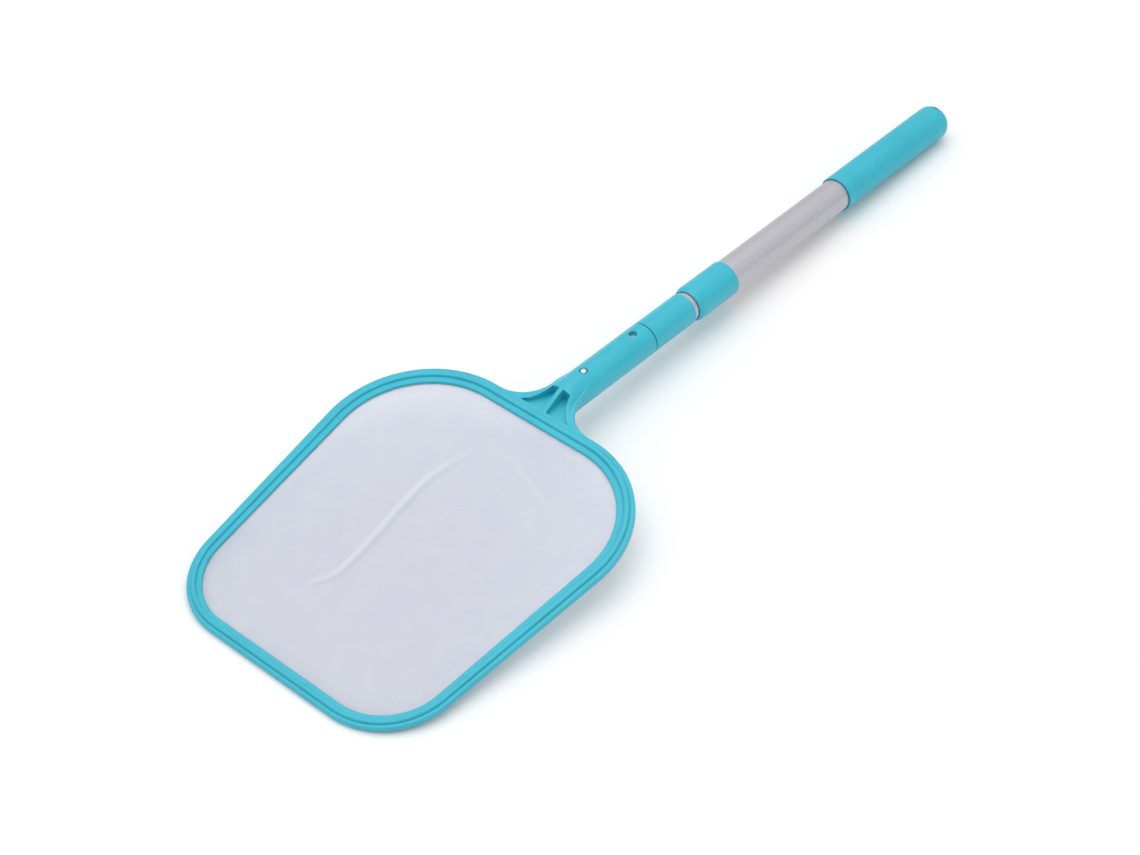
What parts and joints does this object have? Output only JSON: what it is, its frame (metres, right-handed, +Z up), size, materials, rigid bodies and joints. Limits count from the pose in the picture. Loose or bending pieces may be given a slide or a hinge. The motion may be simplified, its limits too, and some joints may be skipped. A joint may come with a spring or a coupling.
{
  "type": "leaf skimmer net",
  "caption": "Flat rounded net head with a fine mesh, snapped onto a telescopic twist-lock pole with a ringed grip, for lifting floating leaves out of a pool.",
  "frame": {"origin": "centre of the footprint of the net as it lies, on the floor it rests on", "axes": "+Y from the net's tip towards the grip, +X across the net, +Z up; the pole leans 2.54 degrees on the floor"},
  "size_m": [0.275, 0.8188, 0.0512],
  "materials": {
    "frame_plastic": "satin moulded teal plastic",
    "ring_plastic": "satin moulded teal plastic",
    "collar_plastic": "satin moulded teal plastic",
    "grip_plastic": "satin teal plastic with fine rings",
    "tube_aluminium": "drawn and anodised, fine flutes",
    "net_fabric": "fine pale knitted nylon mesh",
    "guide_plastic": "natural white moulded plastic",
    "spring_steel": "cold rolled spring strip",
    "button_metal": "bright plated",
    "screw_steel": "zinc plated"
  },
  "bodies": {
    "handle": {"outer_tube": "tube_aluminium", "grip": "grip_plastic", "tube_end_plug": "guide_plastic", "outer_collar": "collar_plastic", "outer_bush": "guide_plastic"},
    "middle_sleeve": {"middle_lock_sleeve": "guide_plastic"},
    "middle_stage": {"middle_tube": "tube_aluminium", "middle_collar": "collar_plastic", "middle_bush": "guide_plastic", "middle_lock_plug": "guide_plastic", "middle_lock_washer": "screw_steel", "middle_lock_screw": "screw_steel"},
    "inner_sleeve": {"inner_lock_sleeve": "guide_plastic"},
    "head_stage": {"inner_tube": "tube_aluminium", "inner_lock_plug": "guide_plastic", "inner_lock_washer": "screw_steel", "inner_lock_screw": "screw_steel", "clip_bend": "spring_steel", "head_frame": "frame_plastic", "net_ring": "ring_plastic", "net_mesh": "net_fabric"},
    "upper_clip": {"upper_clip_arm": "spring_steel", "upper_button": "button_metal"},
    "lower_clip": {"lower_clip_arm": "spring_steel", "lower_button": "button_metal"}
  },
  "joints": [
    {"name": "middle_stage_slide", "type": "slide", "parent": "handle", "child": "middle_sleeve", "axis": [0, -0.999, 0.0443], "range_m": [0, 0.235]},
    {"name": "middle_stage_twist", "type": "hinge", "parent": "middle_sleeve", "child": "middle_stage", "pos_m": [0, 0.0041, 0.03305], "axis": [0, -0.999, 0.0443], "range_deg": [0, 90]},
    {"name": "inner_stage_slide", "type": "slide", "parent": "middle_stage", "child": "inner_sleeve", "axis": [0, -0.999, 0.0443], "range_m": [0, 0.23]},
    {"name": "inner_stage_twist", "type": "hinge", "parent": "inner_sleeve", "child": "head_stage", "pos_m": [0, 0.0041, 0.03305], "axis": [0, -0.999, 0.0443], "range_deg": [0, 90]},
    {"name": "upper_button_press", "type": "hinge", "parent": "head_stage", "child": "upper_clip", "pos_m": [0, -0.03367, 0.04363], "axis": [1, 0, 0], "range_deg": [0, 5.6], "stiffness_Nm_per_rad": 3, "springref_deg": -2.86},
    {"name": "lower_button_press", "type": "hinge", "parent": "head_stage", "child": "lower_clip", "pos_m": [0, -0.03446, 0.02585], "axis": [-1, 0, 0], "range_deg": [0, 5.6], "stiffness_Nm_per_rad": 3, "springref_deg": -2.86}
  ]
}
